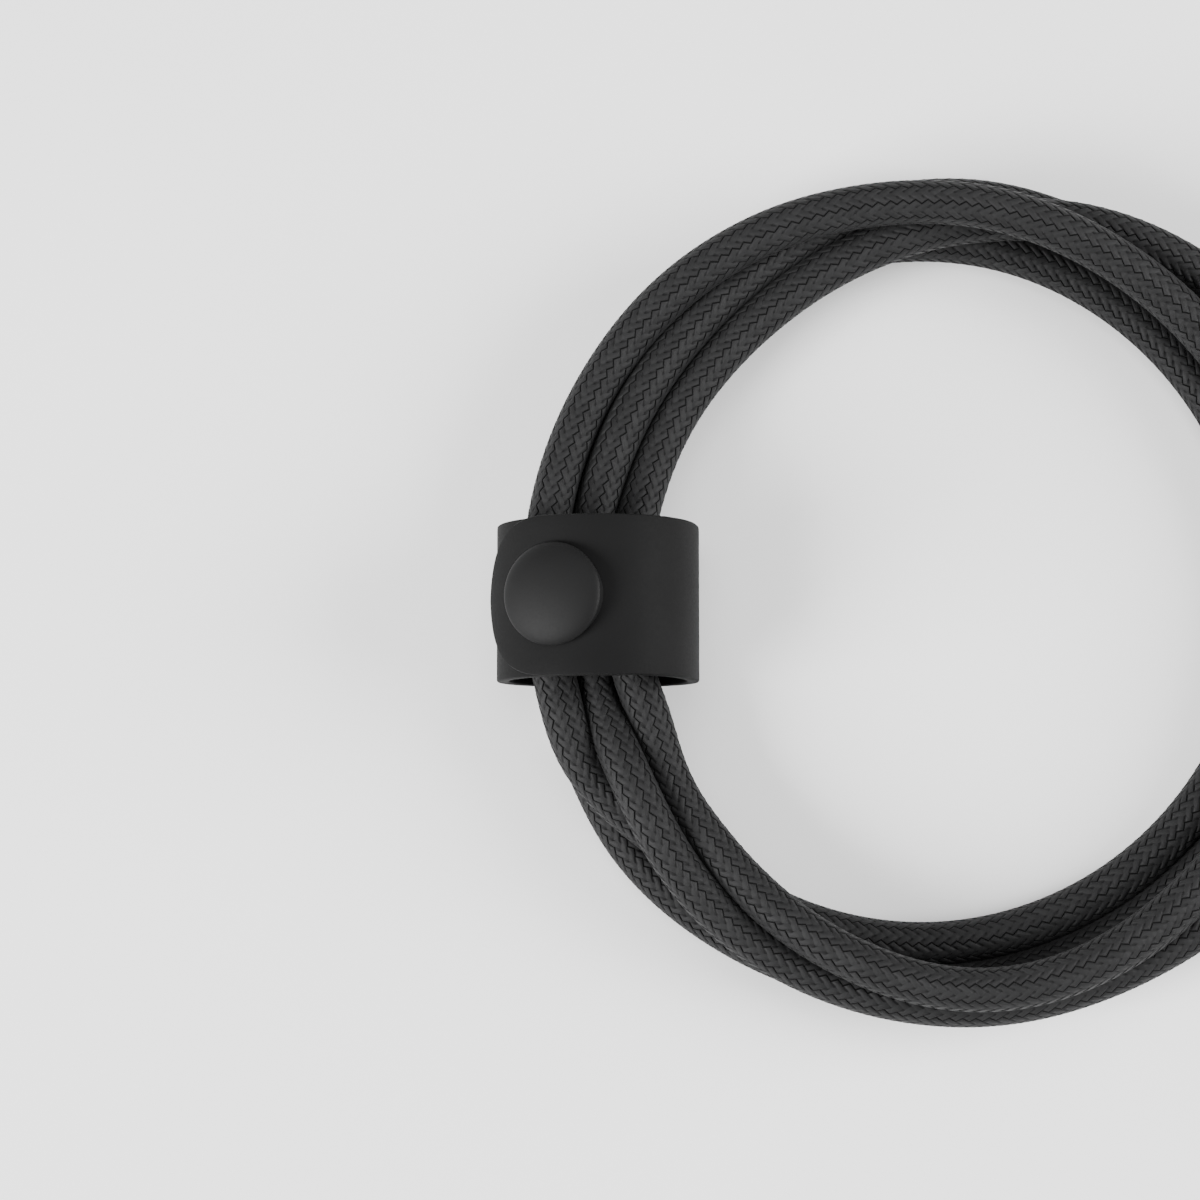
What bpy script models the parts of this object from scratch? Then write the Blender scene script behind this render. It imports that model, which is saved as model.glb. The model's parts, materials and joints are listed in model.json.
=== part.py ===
"""A coiled, braided charging cable with a snap strap and a reversible plug at each end.

The coil lies flat on the table, wound about a vertical axis. The strap wraps its -X side. Both
leads leave on the +X side, cross once and end in plugs that point towards +Y and -Y.
Units are metres, +Z is up and the table is Z = 0.
"""

from math import cos, degrees, pi, radians, sin, sqrt

import bmesh
import bpy
from mathutils import Matrix, Vector

# Cable and coil
CABLE_D = 0.0039
COIL_X = -0.0082
COIL_INNER_R = 0.0234
COIL_OUTER_R = 0.0386
COIL_HEIGHT = 0.0106
COIL_CORNER = 0.0022
COIL_STEPS = 60
NECK_STEPS = 12

# Gaps
GAP = 0.0003
FINE_GAP = 0.0001

# Strap
STRAP_R = 0.00894
STRAP_DEPTH = 0.0059
STRAP_FLAT = 0.0035
STRAP_LENGTH = 0.0138
STRAP_WALL = 0.0011
STRAP_RADIUS = 0.0282
STRAP_Y = -0.0014
LAYER_GAP = 0.00012
HINGE_ANGLE = 33.0
INNER_END_ANGLE = 14.0
TIP_ANGLE = -69.0
SLIDE_ANGLE = 4.0
BAND_STEPS = 90
FLAP_STEPS = 34
NECK_INNER_R = 0.0236
NECK_OUTER_R = 0.0351
NECK_HEIGHT = 0.0078
NECK_CORNER = 0.0031

# Snap
SNAP_ANGLE = -22.0
CAP_R = 0.00445
CAP_RISE = 0.0012
CAP_RIM = 0.0004
FLAP_HOLE_R = 0.00275
BAND_HOLE_R = 0.0011
SOCKET_R = 0.0025
SOCKET_BORE_R = 0.0015
STUD_FLANGE_R = 0.0023
STUD_KNOB_R = 0.001
POST_R = 0.0009
POST_PLATE_R = 0.0024
SNAP_PLATE = 0.0004

# Plugs
PLUG_X = 0.049
PLUG_Y = 0.0125
SHELL_W = 0.00825
SHELL_H = 0.0024
SHELL_WALL = 0.00022
SHELL_OUT = 0.00665
SHELL_IN = 0.0045
LINER_WALL = 0.00028
COVER_W = 0.0106
COVER_H = 0.006
COVER_L = 0.0195
COVER_CORNER = 0.0019
COVER_WALL = 0.0009
PLUG_Z = COVER_H / 2
RELIEF_L = 0.0115
GRIP_L = 0.004
GRIP_GAP = 0.00015
RELIEF_WALL = 0.0009
BOARD_T = 0.0006
BOARD_W = 0.0066
BOARD_L = 0.0062
CONTACT_COUNT = 12
CONTACT_PITCH = 0.0005
CONTACT_W = 0.00024
CONTACT_T = 0.00016
CAN_WALL = 0.00025
CORNER_STEPS = 5
BEZEL_L = 0.0012
REAR_BEZEL_L = 0.0008
BEAM_OVERLAP = 0.0004
BEAM_ROOT = 0.0022
BEAM_SETBACK = 0.0014
BOARD_OVERLAP = 0.0008
LATCH_SIDES = 0.0014
LATCH_SETBACK = 0.0022
SPRING_W = 0.0052
SPRING_L = 0.0006
SPRING_SETBACK = 0.0012
SPRING_INSET = 0.0002
CHIP_W = 0.0024
CHIP_L = 0.0024
CHIP_H = 0.0006
CHIP_SETBACK = 0.0012
CAN_SETBACK = 0.0042
CRIMP_R = 0.0019
CRIMP_BORE_R = 0.0016
CRIMP_NEAR = 0.0012
CRIMP_FAR = 0.004
CORE_R = 0.0012
CORE_TIP_R = 0.0008

# Routes of the two leads from the coil's outer face into the plugs, from the coil's axis
LEAD_LOW = CABLE_D / 2 + 0.00001
LEAD_HIGH = LEAD_LOW + CABLE_D + 0.00054
LEAD_A = [
    (0.0381, -0.0150, 0.0060),
    (0.0406, -0.0090, LEAD_HIGH),
    (0.0434, -0.0020, LEAD_HIGH),
    (0.0463, 0.0050, LEAD_HIGH - 0.0012),
    (0.0483, 0.0093, 0.0036),
    (PLUG_X, PLUG_Y - GAP, PLUG_Z),
    (PLUG_X, PLUG_Y + GRIP_L, PLUG_Z),
]
LEAD_B = [
    (0.0381, 0.0150, 0.0046),
    (0.0406, 0.0090, 0.0030),
    (0.0434, 0.0020, LEAD_LOW),
    (0.0463, -0.0050, LEAD_LOW + 0.00024),
    (0.0483, -0.0093, 0.0028),
    (PLUG_X, -PLUG_Y + GAP, PLUG_Z),
    (PLUG_X, -PLUG_Y - GRIP_L, PLUG_Z),
]


def new_material(name, colour, roughness, metallic=0.0):
    made = bpy.data.materials.new(name)
    made.use_nodes = True
    shader = made.node_tree.nodes["Principled BSDF"]
    shader.inputs["Base Color"].default_value = (*colour, 1.0)
    shader.inputs["Roughness"].default_value = roughness
    shader.inputs["Metallic"].default_value = metallic
    return made


def new_object(name, mesh_builder, material, collection):
    """Turn a bmesh into a named, smooth-shaded object in the collection."""
    bmesh.ops.remove_doubles(mesh_builder, verts=mesh_builder.verts, dist=1e-7)
    bmesh.ops.recalc_face_normals(mesh_builder, faces=mesh_builder.faces)
    mesh = bpy.data.meshes.new(name)
    mesh_builder.to_mesh(mesh)
    mesh_builder.free()
    mesh.shade_smooth()
    mesh.set_sharp_from_angle(angle=radians(35))
    made = bpy.data.objects.new(name, mesh)
    made.data.materials.append(material)
    collection.objects.link(made)
    return made


def cut(target, cutter, operation="DIFFERENCE"):
    """Cut the target with a hidden cutter, or join the cutter to it."""
    cutter.hide_render = True
    cutter.display_type = "WIRE"
    boolean = target.modifiers.new(cutter.name, "BOOLEAN")
    boolean.object = cutter
    boolean.operation = operation


def rounded_outline(width, height, corner, steps=CORNER_STEPS):
    """Points round a rectangle with arc corners, centred on zero."""
    points = []
    for index, (sx, sy) in enumerate([(1, 1), (-1, 1), (-1, -1), (1, -1)]):
        for step in range(steps + 1):
            angle = (index + step / steps) * pi / 2
            points.append(
                (
                    sx * (width / 2 - corner) + corner * cos(angle),
                    sy * (height / 2 - corner) + corner * sin(angle),
                )
            )
    return points


def turned_section(name, outline, start_deg, turn_deg, steps, material, collection):
    """Sweep a closed (radius, height) outline about the coil's axis, with flat ends."""
    builder = bmesh.new()
    ring = [builder.verts.new((r, 0, z)) for r, z in outline]
    section = builder.faces.new(ring)
    bmesh.ops.rotate(builder, verts=ring, matrix=Matrix.Rotation(radians(start_deg), 3, "Z"))
    bmesh.ops.spin(
        builder,
        geom=[section],
        axis=(0, 0, 1),
        angle=radians(turn_deg),
        steps=steps,
        use_duplicate=False,
    )
    made = new_object(name, builder, material, collection)
    made.location.x = COIL_X
    return made


def lofted(name, sections, material, collection):
    """A closed solid through matching rings of points, capped at both ends."""
    builder = bmesh.new()
    rings = [[builder.verts.new(point) for point in section] for section in sections]
    for near, far in zip(rings, rings[1:]):
        for index in range(len(near)):
            after = (index + 1) % len(near)
            builder.faces.new((near[index], near[after], far[after], far[index]))
    builder.faces.new(reversed(rings[0]))
    builder.faces.new(rings[-1])
    return new_object(name, builder, material, collection)


def lathed(name, profile, material, collection, steps=24):
    """Turn a (radius, height) profile about Z; a profile may start and end on the axis."""
    builder = bmesh.new()
    line = [builder.verts.new((r, 0, z)) for r, z in profile]
    closed = profile[0][0] > 0
    pairs = list(zip(line, line[1:])) + ([(line[-1], line[0])] if closed else [])
    edges = [builder.edges.new(pair) for pair in pairs]
    bmesh.ops.spin(
        builder,
        geom=line + edges,
        axis=(0, 0, 1),
        angle=2 * pi,
        steps=steps,
        use_merge=True,
        use_duplicate=False,
    )
    return new_object(name, builder, material, collection)


def build_coil(collection, cutters, material):
    """The coil's outer shape, with a slimmer neck where it runs through the strap."""
    strap_half = STRAP_LENGTH / 2 + GAP
    neck_half = degrees(strap_half / COIL_INNER_R) + SLIDE_ANGLE + 2.0
    neck_middle = 180 - degrees(STRAP_Y / STRAP_RADIUS)
    middle = (COIL_INNER_R + COIL_OUTER_R) / 2
    outline = [
        (middle + across, COIL_HEIGHT / 2 + up)
        for across, up in rounded_outline(COIL_OUTER_R - COIL_INNER_R, COIL_HEIGHT, COIL_CORNER, 3)
    ]
    coil = turned_section(
        "cable_coil",
        outline,
        neck_middle + neck_half,
        360 - 2 * neck_half,
        COIL_STEPS,
        material,
        collection,
    )
    neck_floor = STRAP_WALL + GAP
    neck_outline = [
        ((NECK_INNER_R + NECK_OUTER_R) / 2 + across, neck_floor + NECK_HEIGHT / 2 + up)
        for across, up in rounded_outline(
            NECK_OUTER_R - NECK_INNER_R, NECK_HEIGHT, NECK_CORNER, 4
        )
    ]
    neck = turned_section(
        "coil_neck",
        neck_outline,
        neck_middle - neck_half - 1,
        2 * neck_half + 2,
        NECK_STEPS,
        material,
        cutters,
    )
    cut(coil, neck, "UNION")


def build_lead(name, points, material, collection):
    """A round cable through the points, smoothed by a Catmull-Rom curve."""
    route = [Vector(point) for point in points]
    ends = [2 * route[0] - route[1]] + route + [2 * route[-1] - route[-2]]
    smooth = []
    for index in range(len(route) - 1):
        p0, p1, p2, p3 = ends[index : index + 4]
        for part in (0, 0.5):
            smooth.append(
                0.5
                * (
                    2 * p1
                    + (p2 - p0) * part
                    + (2 * p0 - 5 * p1 + 4 * p2 - p3) * part**2
                    + (3 * p1 - p0 - 3 * p2 + p3) * part**3
                )
            )
    smooth.append(route[-1])
    curve = bpy.data.curves.new(name, "CURVE")
    curve.dimensions = "3D"
    curve.bevel_depth = CABLE_D / 2
    curve.bevel_resolution = 2
    curve.use_fill_caps = True
    spline = curve.splines.new("POLY")
    spline.points.add(len(smooth) - 1)
    for target, point in zip(spline.points, smooth):
        target.co = (point.x, point.y, point.z, 1)
    made = bpy.data.objects.new(name, curve)
    made.location.x = COIL_X
    curve.materials.append(material)
    collection.objects.link(made)


def strap_outline(angle, offset=0.0):
    """A point on the strap's outer outline; the angle runs from its top, + to the right."""
    reach = STRAP_R + offset
    if abs(angle) <= 90:
        return reach * sin(radians(angle)), STRAP_DEPTH + reach * cos(radians(angle))
    side = 1 if angle > 0 else -1
    round_part = min(abs(angle) - 90, 60) / 60 * pi / 2
    flat_part = max(abs(angle) - 150, 0) / 30
    across = STRAP_FLAT * (1 - flat_part) + (reach - STRAP_FLAT) * cos(round_part)
    return side * across, STRAP_DEPTH - (STRAP_DEPTH + offset) * sin(round_part)


def band_lift(angle):
    """How far the flap's outer face stands off the band's outline: it climbs over the inner end."""
    share = min(max((HINGE_ANGLE - 2 - angle) / (HINGE_ANGLE - INNER_END_ANGLE - 4), 0), 1)
    return (STRAP_WALL + LAYER_GAP) * share * share * (3 - 2 * share)


def strip(name, columns, material, collection):
    """A wall from (outer point, inner point, half width) columns along the band."""
    sections = []
    for outer, inner, half in columns:
        sections.append(
            [
                (outer[0], half, outer[1]),
                (outer[0], -half, outer[1]),
                (inner[0], -half, inner[1]),
                (inner[0], half, inner[1]),
            ]
        )
    made = lofted(name, sections, material, collection)
    made.location = (COIL_X - STRAP_RADIUS, STRAP_Y, 0)
    return made


def build_strap(collection, cutters, material):
    """The band, its hinged flap and the holes that hold the snap."""
    half = STRAP_LENGTH / 2
    start = HINGE_ANGLE + degrees(GAP / STRAP_R)
    band_end = INNER_END_ANGLE + 360
    columns = []
    for step in range(BAND_STEPS + 1):
        angle = start + (band_end - start) * step / BAND_STEPS
        angle = angle - 360 if angle > 180 else angle
        columns.append((strap_outline(angle), strap_outline(angle, -STRAP_WALL), half))
    band = strip("strap_band", columns, material, collection)
    tip_length = radians(HINGE_ANGLE - TIP_ANGLE) * (STRAP_R + STRAP_WALL)
    columns = []
    for step in range(FLAP_STEPS + 1):
        share = step / FLAP_STEPS
        angle = HINGE_ANGLE + (TIP_ANGLE - HINGE_ANGLE) * share
        to_tip = tip_length * (1 - share)
        width = half
        if to_tip < half:
            width = max(sqrt(half**2 - (half - to_tip) ** 2), GAP)
        lift = band_lift(angle)
        columns.append(
            (strap_outline(angle, lift), strap_outline(angle, lift - STRAP_WALL), width)
        )
    flap = strip("strap_flap", columns, material, collection)
    for target, radius in ((band, BAND_HOLE_R), (flap, FLAP_HOLE_R)):
        cutter = lathed(
            target.name + "_hole",
            [
                (0, STRAP_R + 3 * STRAP_WALL),
                (radius, STRAP_R + 3 * STRAP_WALL),
                (radius, STRAP_R / 2),
                (0, STRAP_R / 2),
            ],
            material,
            cutters,
        )
        set_on_snap_axis(cutter)
        cut(target, cutter)


def set_on_snap_axis(made):
    """Put a turned piece on the snap's axis, which starts at the strap's centre line."""
    made.location = (COIL_X - STRAP_RADIUS, STRAP_Y, STRAP_DEPTH)
    made.rotation_euler.y = radians(SNAP_ANGLE)


def build_snap(collection, material, metal):
    """Cap and socket on the flap; stud and its backing post on the band."""
    flap_top = STRAP_R + STRAP_WALL + LAYER_GAP
    rim = flap_top + FINE_GAP
    dome = []
    for step in range(7):
        angle = pi / 2 * step / 6
        dome.append((CAP_R * cos(angle), rim + CAP_RIM + (CAP_RISE - CAP_RIM) * sin(angle)))
    profile = [(0, rim), (CAP_R - CAP_RIM / 2, rim)] + dome[:-1] + [(0, rim + CAP_RISE)]
    cap = lathed("snap_cap", profile, material, collection, 32)
    band_top = STRAP_R + FINE_GAP
    flange_top = band_top + SNAP_PLATE
    socket_low = flange_top + FINE_GAP
    socket = lathed(
        "snap_socket",
        [
            (SOCKET_R, rim - FINE_GAP),
            (SOCKET_R, socket_low),
            (SOCKET_BORE_R, socket_low),
            (SOCKET_BORE_R, rim - FINE_GAP),
        ],
        metal,
        collection,
    )
    stud = lathed(
        "snap_stud",
        [
            (0, rim - 3 * FINE_GAP),
            (STUD_KNOB_R * 0.8, rim - 3 * FINE_GAP),
            (STUD_KNOB_R, rim - 5 * FINE_GAP),
            (STUD_KNOB_R * 0.85, flange_top),
            (STUD_FLANGE_R, flange_top),
            (STUD_FLANGE_R, band_top),
            (0, band_top),
        ],
        metal,
        collection,
    )
    plate_top = sqrt((STRAP_R - STRAP_WALL - FINE_GAP) ** 2 - POST_PLATE_R**2)
    post = lathed(
        "snap_post",
        [
            (0, band_top - FINE_GAP),
            (POST_R, band_top - FINE_GAP),
            (POST_R, plate_top),
            (POST_PLATE_R, plate_top),
            (POST_PLATE_R, plate_top - SNAP_PLATE),
            (0, plate_top - SNAP_PLATE),
        ],
        metal,
        collection,
    )
    for made in (cap, socket, stud, post):
        set_on_snap_axis(made)


def bar(name, width, height, corner, near, far, material, collection, centre=0.0):
    """A rounded bar along the plug's axis, from near to far."""
    outline = rounded_outline(width, height, corner)
    sections = [[(x, y, z + centre) for x, z in outline] for y in (near, far)]
    return lofted(name, sections, material, collection)


def tube(name, width, height, corner, wall, near, far, material, collection):
    """A rounded tube along the plug's axis, open at both ends."""
    outer = rounded_outline(width, height, corner)
    inner = rounded_outline(width - 2 * wall, height - 2 * wall, corner - wall)
    rings = [
        [(x, near, z) for x, z in outer],
        [(x, far, z) for x, z in outer],
        [(x, far, z) for x, z in inner],
        [(x, near, z) for x, z in inner],
    ]
    builder = bmesh.new()
    loops = [[builder.verts.new(point) for point in ring] for ring in rings]
    for near_loop, far_loop in zip(loops, loops[1:] + loops[:1]):
        for index in range(len(near_loop)):
            after = (index + 1) % len(near_loop)
            builder.faces.new(
                (near_loop[index], near_loop[after], far_loop[after], far_loop[index])
            )
    return new_object(name, builder, material, collection)


def comb(name, level, near, far, root, material, collection):
    """A row of flat contact beams on one carrier strip, as they are stamped."""
    row = (CONTACT_COUNT - 1) * CONTACT_PITCH
    builder = bmesh.new()
    xs = []
    for index in range(CONTACT_COUNT):
        middle = index * CONTACT_PITCH - row / 2
        xs += [middle - CONTACT_W / 2, middle + CONTACT_W / 2]
    back = [builder.verts.new((x, near, 0)) for x in xs]
    step = [builder.verts.new((x, root, 0)) for x in xs]
    front = [builder.verts.new((x, far, 0)) for x in xs]
    for index in range(len(xs) - 1):
        builder.faces.new((back[index], back[index + 1], step[index + 1], step[index]))
        if index % 2 == 0:
            builder.faces.new((step[index], step[index + 1], front[index + 1], front[index]))
    flat = bmesh.ops.extrude_face_region(builder, geom=list(builder.faces))
    raised = [item for item in flat["geom"] if isinstance(item, bmesh.types.BMVert)]
    bmesh.ops.translate(builder, verts=raised, vec=(0, 0, CONTACT_T))
    bmesh.ops.translate(builder, verts=builder.verts, vec=(0, 0, level))
    return new_object(name, builder, material, collection)


def place_plug(made, side):
    """Stand a plug's piece on its place: the plug points away from the crossing."""
    made.location = (COIL_X + PLUG_X, side * PLUG_Y, PLUG_Z)
    if side < 0:
        made.rotation_euler.z = pi


def build_plug(end, side, collection, materials):
    """One reversible plug: local +Y runs from the cable to the tip."""
    rubber, plastic, metal, gold, green, black, copper = materials
    cover_start = RELIEF_L
    cover_end = cover_start + COVER_L
    shell_start = cover_end - SHELL_IN
    shell_end = cover_end + SHELL_OUT
    made = []
    sections = []
    for share, grow in ((0, 0.0), (0.25, 0.0001), (0.6, 0.0003), (1, 0.0005)):
        outer = CABLE_D / 2 + RELIEF_WALL * 0.5 + grow
        sections.append((share * RELIEF_L, outer))
    bore = CABLE_D / 2 + GRIP_GAP
    profile = [(r, y) for y, r in reversed(sections)] + [(bore, 0), (bore, RELIEF_L)]
    relief = lathed("relief_" + end, profile, rubber, collection)
    relief.data.transform(Matrix.Rotation(-pi / 2, 4, "X"))
    made.append(relief)
    cover = tube(
        "cover_" + end, COVER_W, COVER_H, COVER_CORNER, COVER_WALL, cover_start + GAP, cover_end,
        plastic, collection,
    )
    made.append(cover)
    mould_w = COVER_W - 2 * (COVER_WALL + FINE_GAP)
    mould_h = COVER_H - 2 * (COVER_WALL + FINE_GAP)
    mould_corner = COVER_CORNER - COVER_WALL - FINE_GAP
    collar = bar(
        "front_bezel_" + end, mould_w, mould_h, mould_corner, cover_end - BEZEL_L, cover_end,
        plastic, collection,
    )
    hole = bar(
        "bezel_cut_" + end, SHELL_W + 2 * FINE_GAP, SHELL_H + 2 * FINE_GAP,
        SHELL_H / 2, cover_end - 2 * BEZEL_L, cover_end + BEZEL_L, plastic,
        bpy.data.collections["cutters"],
    )
    cut(collar, hole)
    made += [collar, hole]
    back = bar(
        "rear_bezel_" + end, mould_w, mould_h, mould_corner, cover_start + GAP,
        cover_start + GAP + REAR_BEZEL_L, plastic, collection,
    )
    core_hole = lathed(
        "rear_cut_" + end,
        [
            (0, cover_start + CRIMP_FAR),
            (CORE_R + 2 * FINE_GAP, cover_start + CRIMP_FAR),
            (CORE_R + 2 * FINE_GAP, cover_start - GAP),
            (0, cover_start - GAP),
        ],
        plastic,
        bpy.data.collections["cutters"],
    )
    core_hole.data.transform(Matrix.Rotation(-pi / 2, 4, "X"))
    cut(back, core_hole)
    made += [back, core_hole]
    shell = tube(
        "shell_" + end, SHELL_W, SHELL_H, SHELL_H / 2 - FINE_GAP, SHELL_WALL, shell_start,
        shell_end, metal, collection,
    )
    made.append(shell)
    liner_w = SHELL_W - 2 * (SHELL_WALL + FINE_GAP / 2)
    liner_h = SHELL_H - 2 * (SHELL_WALL + FINE_GAP / 2)
    liner = tube(
        "insulator_" + end, liner_w, liner_h, liner_h / 2 - FINE_GAP, LINER_WALL,
        shell_start + GAP, shell_end - GAP, black, collection,
    )
    made.append(liner)
    inside = liner_h / 2 - LINER_WALL
    beam_near = shell_start - BEAM_OVERLAP
    beam_root = shell_start + BEAM_ROOT
    beam_far = shell_end - BEAM_SETBACK
    board_end = beam_near + BOARD_OVERLAP
    board_start = board_end - BOARD_L
    above = BOARD_T / 2 + FINE_GAP
    for side_name, level in (("upper", above), ("lower", -above - CONTACT_T)):
        made.append(
            comb(
                "contacts_" + side_name + "_" + end, level, beam_near, beam_far, beam_root,
                gold, collection,
            )
        )
    latch = bar(
        "latch_plate_" + end, liner_w - 2 * LINER_WALL - 2 * FINE_GAP, BOARD_T * 0.5, BOARD_T * 0.2,
        board_end + FINE_GAP, shell_end - LATCH_SETBACK, metal, collection,
    )
    notch = bar(
        "latch_cut_" + end, liner_w - 2 * LINER_WALL - LATCH_SIDES, BOARD_T, BOARD_T * 0.3,
        beam_root + 0.001, shell_end, metal, bpy.data.collections["cutters"],
    )
    cut(latch, notch)
    made += [latch, notch]
    for side_name, sign in (("upper", 1), ("lower", -1)):
        made.append(
            bar(
                "ground_spring_" + side_name + "_" + end, SPRING_W, CONTACT_T, CONTACT_T / 3,
                shell_end - SPRING_SETBACK, shell_end - SPRING_SETBACK + SPRING_L, metal,
                collection, sign * (inside - SPRING_INSET),
            )
        )
    board = bar(
        "board_" + end, BOARD_W, BOARD_T, BOARD_T / 5, board_start, board_end, green, collection
    )
    made.append(board)
    chip = bar(
        "chip_" + end, CHIP_W, CHIP_H, FINE_GAP, board_start + CHIP_SETBACK,
        board_start + CHIP_SETBACK + CHIP_L, black, collection, above + CHIP_H / 2,
    )
    made.append(chip)
    can = tube(
        "shield_can_" + end, mould_w - 2 * FINE_GAP, mould_h - 2 * FINE_GAP, mould_corner, CAN_WALL,
        cover_start + CAN_SETBACK, shell_start - FINE_GAP, metal, collection,
    )
    made.append(can)
    crimp = lathed(
        "crimp_ring_" + end,
        [
            (CRIMP_R, CRIMP_FAR),
            (CRIMP_R, CRIMP_NEAR),
            (CRIMP_BORE_R, CRIMP_NEAR),
            (CRIMP_BORE_R, CRIMP_FAR),
        ],
        metal,
        collection,
    )
    crimp.data.transform(Matrix.Rotation(-pi / 2, 4, "X"))
    crimp.data.transform(Matrix.Translation((0, cover_start, 0)))
    made.append(crimp)
    core = lathed(
        "conductors_" + end,
        [
            (0, board_start - GAP),
            (CORE_TIP_R, board_start - GAP),
            (CORE_R, cover_start + CRIMP_FAR),
            (CORE_R, GRIP_L + GAP),
            (0, GRIP_L + GAP),
        ],
        copper,
        collection,
        16,
    )
    core.data.transform(Matrix.Rotation(-pi / 2, 4, "X"))
    made.append(core)
    for piece in made:
        place_plug(piece, side)


def main():
    for existing in list(bpy.data.objects):
        bpy.data.objects.remove(existing)
    parts = bpy.data.collections.new("charging_cable")
    cutters = bpy.data.collections.new("cutters")
    for group in (parts, cutters):
        bpy.context.scene.collection.children.link(group)
    braid = new_material("braid", (0.032, 0.032, 0.033), 0.6)
    rubber = new_material("strap_rubber", (0.032, 0.032, 0.033), 0.55)
    plastic = new_material("plug_plastic", (0.035, 0.035, 0.036), 0.5)
    steel = new_material("plug_steel", (0.6, 0.6, 0.61), 0.3, 1.0)
    gold = new_material("contact_gold", (0.8, 0.6, 0.25), 0.3, 1.0)
    green = new_material("board_green", (0.03, 0.16, 0.07), 0.5)
    black = new_material("insulator_black", (0.02, 0.02, 0.02), 0.5)
    copper = new_material("copper", (0.7, 0.35, 0.2), 0.4, 1.0)
    build_coil(parts, cutters, braid)
    build_lead("lead_a", LEAD_A, braid, parts)
    build_lead("lead_b", LEAD_B, braid, parts)
    build_strap(parts, cutters, rubber)
    build_snap(parts, rubber, steel)
    looks = (rubber, plastic, steel, gold, green, black, copper)
    build_plug("a", 1, parts, looks)
    build_plug("b", -1, parts, looks)


main()
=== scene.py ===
"""Finish for the coiled charging cable: braided cord, silicone snap strap, plugs and stage.

Everything is in metres in the shared frame, +Z up, with the table at Z = 0.
"""

import json
from math import cos, pi, radians, sin, sqrt

import bmesh
import bpy
import numpy as np
from mathutils import Matrix, Vector


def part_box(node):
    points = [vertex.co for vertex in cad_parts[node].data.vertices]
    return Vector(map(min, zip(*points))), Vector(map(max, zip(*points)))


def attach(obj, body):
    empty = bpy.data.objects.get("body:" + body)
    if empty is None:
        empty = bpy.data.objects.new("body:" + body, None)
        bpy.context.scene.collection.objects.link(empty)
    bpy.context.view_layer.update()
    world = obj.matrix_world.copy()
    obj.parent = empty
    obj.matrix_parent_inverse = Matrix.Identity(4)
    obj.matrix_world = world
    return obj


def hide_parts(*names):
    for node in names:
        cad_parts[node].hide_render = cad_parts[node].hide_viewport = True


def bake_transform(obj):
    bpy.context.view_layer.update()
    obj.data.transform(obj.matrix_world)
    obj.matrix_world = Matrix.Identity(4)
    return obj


bl_info = {
    "name": "Coiled Charging Cable",
    "version": (1, 0, 0),
    "blender": (4, 5, 0),
    "location": "3D View > Sidebar > Cable",
    "description": "Builds a braided charging cable in a coil, held by a silicone snap strap",
    "category": "Object",
}

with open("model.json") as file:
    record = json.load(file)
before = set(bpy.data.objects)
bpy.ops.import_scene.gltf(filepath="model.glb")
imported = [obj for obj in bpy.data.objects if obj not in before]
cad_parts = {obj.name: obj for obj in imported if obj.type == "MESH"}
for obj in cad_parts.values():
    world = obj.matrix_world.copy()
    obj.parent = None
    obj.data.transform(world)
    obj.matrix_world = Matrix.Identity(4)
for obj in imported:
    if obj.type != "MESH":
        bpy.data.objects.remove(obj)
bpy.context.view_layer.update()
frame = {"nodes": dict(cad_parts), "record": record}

BAND_LOW, BAND_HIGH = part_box("strap_band")
JOINTS = {joint["name"]: joint for joint in frame["record"]["behaviour"]["joints"]}

COIL_AXIS_X = JOINTS["strap_slide"]["pos_m"][0]
STRAP_MIDDLE = Vector(((BAND_LOW.x + BAND_HIGH.x) / 2, (BAND_LOW.y + BAND_HIGH.y) / 2, 0))
STRAP_RADIUS = (BAND_HIGH.x - BAND_LOW.x) / 2
STRAP_HALF = (BAND_HIGH.y - BAND_LOW.y) / 2
HINGE = Vector(JOINTS["flap_hinge"]["pos_m"])
STRAP_DEPTH = HINGE.z - sqrt(STRAP_RADIUS**2 - (HINGE.x - STRAP_MIDDLE.x) ** 2)

MM = 0.001

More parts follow.
